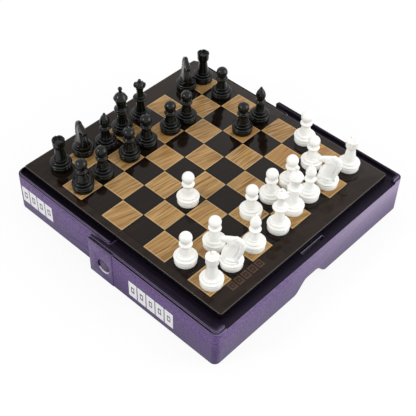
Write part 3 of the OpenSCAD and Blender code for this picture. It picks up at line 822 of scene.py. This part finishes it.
def dress(node, material, width):
    """Gives a CAD node its finish, and rounds its edges by width, in millimetres."""
    piece = frame["nodes"][node]
    piece.data.materials.clear()
    piece.data.materials.append(material)
    weld = piece.modifiers.new("weld", "WELD")
    weld.merge_threshold = 0.002 * MM
    if width:
        flatten = piece.modifiers.new("flatten", "DECIMATE")
        flatten.decimate_type = "DISSOLVE"
        flatten.angle_limit = math.radians(1)
        bevel = piece.modifiers.new("bevel", "BEVEL")
        bevel.width = width * MM
        bevel.segments = 3
        bevel.limit_method = "ANGLE"
        bevel.angle_limit = math.radians(40)
        bevel.use_clamp_overlap = False
        bevel.harden_normals = True
    piece.data.polygons.foreach_set("use_smooth", [True] * len(piece.data.polygons))
    piece.data.set_sharp_from_angle(angle=math.radians(30))


FINISHES = {
    "outer_case_shell": (PURPLE, 0.3),
    "inner_case_shell": (PURPLE, 0.3),
    "left_hinge_pin": (PURPLE, 0.15),
    "right_hinge_pin": (PURPLE, 0.15),
    "outer_board_tray": (TRAY, 0.2),
    "inner_board_tray": (TRAY, 0.2),
    "outer_board_film": (BOARD, 0.08),
    "inner_board_film": (BOARD, 0.08),
    "outer_steel_sheet": (STEEL, 0),
    "inner_steel_sheet": (STEEL, 0),
}
for node, (material, width) in FINISHES.items():
    dress(node, material, width)


def wall_strip(name, body, x, y_range, z_range, count):
    """Printed row of white blocks on a side wall at x, each a thick frame with a solid core."""
    ink_t, block, hollow, core = 0.03, 0.45, 0.4, 0.22
    builder = bmesh.new()
    face_x = x + math.copysign(ink_t, x)
    pitch = (y_range[1] - y_range[0]) / count
    middle_z = (z_range[0] + z_range[1]) / 2
    half_height = (z_range[1] - z_range[0]) / 2

    def corner(middle_y, turn, share):
        """One corner of a rectangle that is a share of a block, counted round it by turn."""
        side_y, side_z = ((1, 1), (-1, 1), (-1, -1), (1, -1))[turn % 4]
        y = middle_y + side_y * share * block * pitch
        return y, middle_z + side_z * share * half_height

    def patch(corners):
        """Thin flat tile over a few corners in the plane of the wall."""
        front = [builder.verts.new((face_x * MM, y * MM, z * MM)) for y, z in corners]
        back = [builder.verts.new((x * MM, y * MM, z * MM)) for y, z in corners]
        builder.faces.new(front)
        builder.faces.new(back[::-1])
        for k in range(len(corners)):
            n = (k + 1) % len(corners)
            builder.faces.new([front[n], front[k], back[k], back[n]])

    for k in range(count):
        middle = y_range[0] + (k + 0.5) * pitch
        for turn in range(4):
            outer_side = [corner(middle, turn, 1), corner(middle, turn + 1, 1)]
            inner_side = [corner(middle, turn + 1, hollow), corner(middle, turn, hollow)]
            patch(outer_side + inner_side)
        patch([corner(middle, turn, core) for turn in range(4)])
    piece = bpy.data.objects.new(name, finish_mesh(name, builder, [INK]))
    bpy.context.scene.collection.objects.link(piece)
    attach(piece, body)


for side, sign in (("left", -1), ("right", 1)):
    outer_x, inner_x = sign * OUTER_HALF_W, sign * INNER_HALF_W
    wall_strip(f"outer_{side}_strip", "outer_case", outer_x, (-51.5, -17.5), (4.0, 15.6), 5)
    wall_strip(f"inner_{side}_strip", "inner_case", inner_x, (49.8, 77.0), (6.6, 18.2), 4)

# ---- Stage: floor, camera and lamps ----


def white_floor():
    """White floor, seen only from above. To the camera it glows, and a small share of it takes
    light, which keeps a faint shadow. It is grey to all other rays, and it doesn't glow below
    the white half, where it would shine through the slot."""
    glow_share, case_middle_y, shade_half_l = 0.88, -33, 33
    paint = Paint("stage_floor", Roughness=0.9, Specular_IOR_Level=0.0)
    glow = paint.nodes.new("ShaderNodeEmission")
    glow.inputs["Strength"].default_value = 1.0
    clear = paint.nodes.new("ShaderNodeBsdfTransparent")
    rays = paint.nodes.new("ShaderNodeLightPath").outputs
    seen = paint.math("MAXIMUM", rays["Is Camera Ray"], rays["Is Glossy Ray"])
    seen = paint.math("MAXIMUM", seen, rays["Is Transmission Ray"])
    paint.colour(paint.mix(seen, srgb(130, 130, 130), srgb(246, 246, 246)))
    x, y, _ = paint.split(paint.place)
    sideways = paint.less(paint.math("ABSOLUTE", x), (OUTER_HALF_W - 3) * MM)
    along = paint.less(paint.away(y, case_middle_y * MM), shade_half_l * MM)
    under = paint.times(sideways, along)
    seen = paint.times(seen, paint.math("SUBTRACT", 1.0, under))
    lit = paint.nodes.new("ShaderNodeMixShader")
    paint.put(lit.inputs[0], paint.times(seen, glow_share))
    paint.put(lit.inputs[1], paint.shader.outputs[0])
    paint.put(lit.inputs[2], glow.outputs[0])
    one_sided = paint.nodes.new("ShaderNodeMixShader")
    geometry = paint.nodes.new("ShaderNodeNewGeometry")
    paint.put(one_sided.inputs[0], geometry.outputs["Backfacing"])
    paint.put(one_sided.inputs[1], lit.outputs[0])
    paint.put(one_sided.inputs[2], clear.outputs[0])
    paint.put(paint.nodes["Material Output"].inputs["Surface"], one_sided.outputs[0])
    return paint.material


FLOOR_REACH = 3.0
corners = [(x * FLOOR_REACH, y * FLOOR_REACH, 0) for x, y in ((-1, -1), (1, -1), (1, 1), (-1, 1))]
floor_mesh = bpy.data.meshes.new("stage_floor")
floor_mesh.from_pydata(corners, [], [(0, 1, 2, 3)])
floor_mesh.materials.append(white_floor())
floor = bpy.data.objects.new("stage_floor", floor_mesh)
bpy.context.scene.collection.objects.link(floor)


def studio_world():
    """White surroundings, a little dimmer as a light than to the camera."""
    as_light, as_seen = 0.84, 1.0
    world = bpy.data.worlds.new("studio")
    world.use_nodes = True
    tree = world.node_tree
    background = tree.nodes["Background"]
    background.inputs["Color"].default_value = (1, 1, 1, 1)
    rays = tree.nodes.new("ShaderNodeLightPath").outputs
    seen = rays["Is Camera Ray"]
    for name in ("Is Glossy Ray", "Is Transmission Ray"):
        either = tree.nodes.new("ShaderNodeMath")
        either.operation = "MAXIMUM"
        tree.links.new(seen, either.inputs[0])
        tree.links.new(rays[name], either.inputs[1])
        seen = either.outputs[0]
    level = tree.nodes.new("ShaderNodeMapRange")
    level.inputs["To Min"].default_value = as_light
    level.inputs["To Max"].default_value = as_seen
    tree.links.new(seen, level.inputs["Value"])
    tree.links.new(level.outputs[0], background.inputs["Strength"])
    return world


bpy.context.scene.world = studio_world()


def lamp(name, place, size, power):
    """Soft round lamp that points at the middle of the board. Sizes are in metres."""
    data = bpy.data.lights.new(name, "AREA")
    data.shape = "DISK"
    data.size = size
    data.energy = power
    obj = bpy.data.objects.new(name, data)
    obj.location = place
    board_middle = Vector((0, 0, 0.03))
    obj.rotation_mode = "QUATERNION"
    obj.rotation_quaternion = (board_middle - obj.location).to_track_quat("-Z", "Y")
    bpy.context.scene.collection.objects.link(obj)


lamp("right_lamp", (0.42, -0.62, 0.34), 0.7, 3.6)
lamp("left_lamp", (-0.88, 0.38, 0.6), 0.3, 3.6)

CAMERA_PLACE = (-0.28361, -0.25657, 0.39542)
CAMERA_TARGET = (-0.00019, -0.00139, 0.0)
CAMERA_ROLL = math.radians(1.7)
LENS_MM = 79.54
SENSOR_MM = 36

camera = bpy.data.objects.new("camera", bpy.data.cameras.new("camera"))
bpy.context.scene.collection.objects.link(camera)
camera.location = CAMERA_PLACE
camera.rotation_mode = "QUATERNION"
level_view = (Vector(CAMERA_TARGET) - camera.location).to_track_quat("-Z", "Y")
camera.rotation_quaternion = level_view @ Quaternion((0, 0, 1), CAMERA_ROLL)
camera.data.lens = LENS_MM
camera.data.sensor_width = SENSOR_MM
bpy.context.scene.camera = camera
bpy.context.scene.view_settings.view_transform = "Standard"
